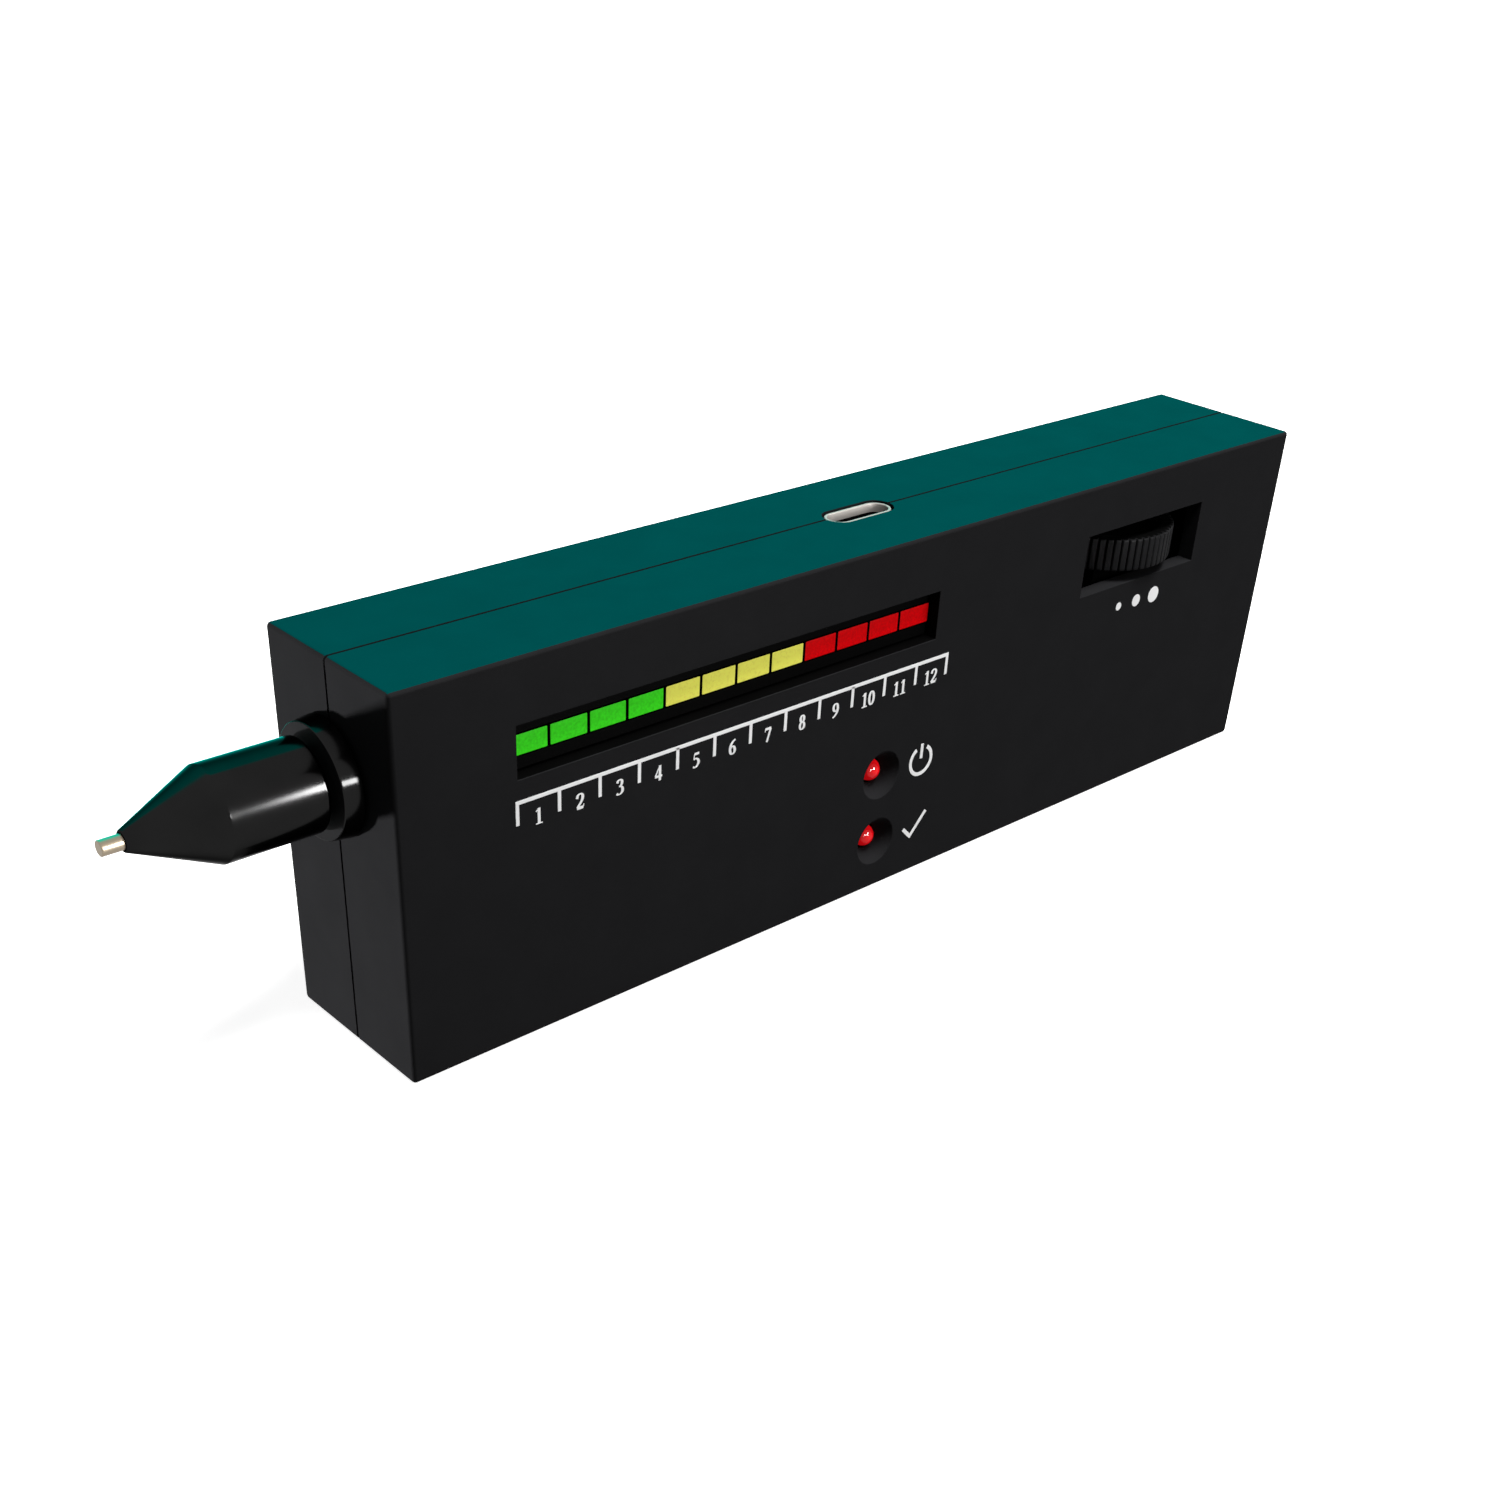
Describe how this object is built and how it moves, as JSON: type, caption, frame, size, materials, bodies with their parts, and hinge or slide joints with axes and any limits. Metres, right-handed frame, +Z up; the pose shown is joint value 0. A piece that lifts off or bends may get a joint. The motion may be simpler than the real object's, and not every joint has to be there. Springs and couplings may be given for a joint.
{
  "type": "diamond tester",
  "caption": "Slim hand-held gemstone tester: sprung heated probe tip, light bar with a scale, thumbwheel, status lamps and a charging socket in the top.",
  "frame": {"origin": "under the middle of the whole tester, tip included, on the base that it stands on", "axes": "+X along the case away from the probe tip, +Y from the front to the back, +Z up"},
  "size_m": [0.156, 0.0208, 0.041],
  "materials": {
    "case_plastic": "fine matt texture on moulded ABS; the top faces carry a dark blue-green lacquer",
    "gloss_black": "polished moulded ABS",
    "pin_metal": "plated copper alloy, pale and warm, finely turned",
    "steel": "bright nickel or zinc plate",
    "brass": "turned brass",
    "nylon": "natural nylon",
    "ceramic": "white alumina",
    "bead_glass": "glass bead",
    "lead_white": "white silicone insulation",
    "lead_red": "red silicone insulation",
    "lead_black": "black silicone insulation",
    "board": "glass-epoxy board under satin solder mask",
    "inner_black": "satin moulded black",
    "light_green": "diffusing epoxy, bright green",
    "light_yellow": "diffusing epoxy, bright yellow",
    "light_red": "diffusing epoxy, bright red",
    "lamp_red": "clear red epoxy dome",
    "cell_wrap": "folded aluminium pouch",
    "foam": "closed-cell foam tape"
  },
  "bodies": {
    "housing": {"front_shell": "case_plastic", "back_shell": "case_plastic", "case_screw_1": "steel", "case_screw_2": "steel", "case_screw_3": "steel", "case_screw_4": "steel", "tip_barrel": "gloss_black", "nose_collar": "gloss_black", "nose_nut": "brass", "probe_spring": "steel", "probe_lead_1": "lead_white", "probe_lead_2": "lead_white", "probe_lead_3": "lead_white", "probe_lead_4": "lead_white", "probe_plug": "nylon", "main_board": "board", "board_screw_1": "steel", "board_screw_2": "steel", "board_screw_3": "steel", "board_screw_4": "steel", "light_holder": "inner_black", "light_01": "light_green", "light_02": "light_green", "light_03": "light_green", "light_04": "light_green", "light_05": "light_yellow", "light_06": "light_yellow", "light_07": "light_yellow", "light_08": "light_yellow", "light_09": "light_red", "light_10": "light_red", "light_11": "light_red", "light_12": "light_red", "power_lamp": "lamp_red", "ready_lamp": "lamp_red", "pot_body": "inner_black", "port_shell": "steel", "port_tongue": "inner_black", "battery_cell": "cell_wrap", "battery_pad": "foam", "battery_lead_plus": "lead_red", "battery_lead_minus": "lead_black", "battery_plug": "nylon", "buzzer": "inner_black", "controller_chip": "inner_black", "amplifier_chip": "inner_black", "charger_chip": "inner_black", "board_resistor_1": "ceramic", "board_resistor_2": "ceramic", "board_resistor_3": "ceramic"},
    "probe": {"probe_pin": "pin_metal", "probe_plunger": "nylon", "plunger_clip": "steel", "pin_insulator": "nylon", "probe_heater": "ceramic", "probe_thermistor": "bead_glass"},
    "wheel": {"thumbwheel": "gloss_black", "wheel_shaft": "steel", "wheel_screw": "steel"}
  },
  "joints": [
    {"name": "probe_slide", "type": "slide", "parent": "housing", "child": "probe", "axis": [1, 0, 0], "range_m": [0, 0.0015], "stiffness_N_per_m": 600, "springref_m": -0.001, "deforming": ["probe_spring", "probe_lead_1", "probe_lead_2", "probe_lead_3", "probe_lead_4"]},
    {"name": "wheel_turn", "type": "hinge", "parent": "housing", "child": "wheel", "pos_m": [0.0526, -0.0017, 0.03115], "axis": [0, 0, 1], "range_deg": [-150, 150]}
  ]
}
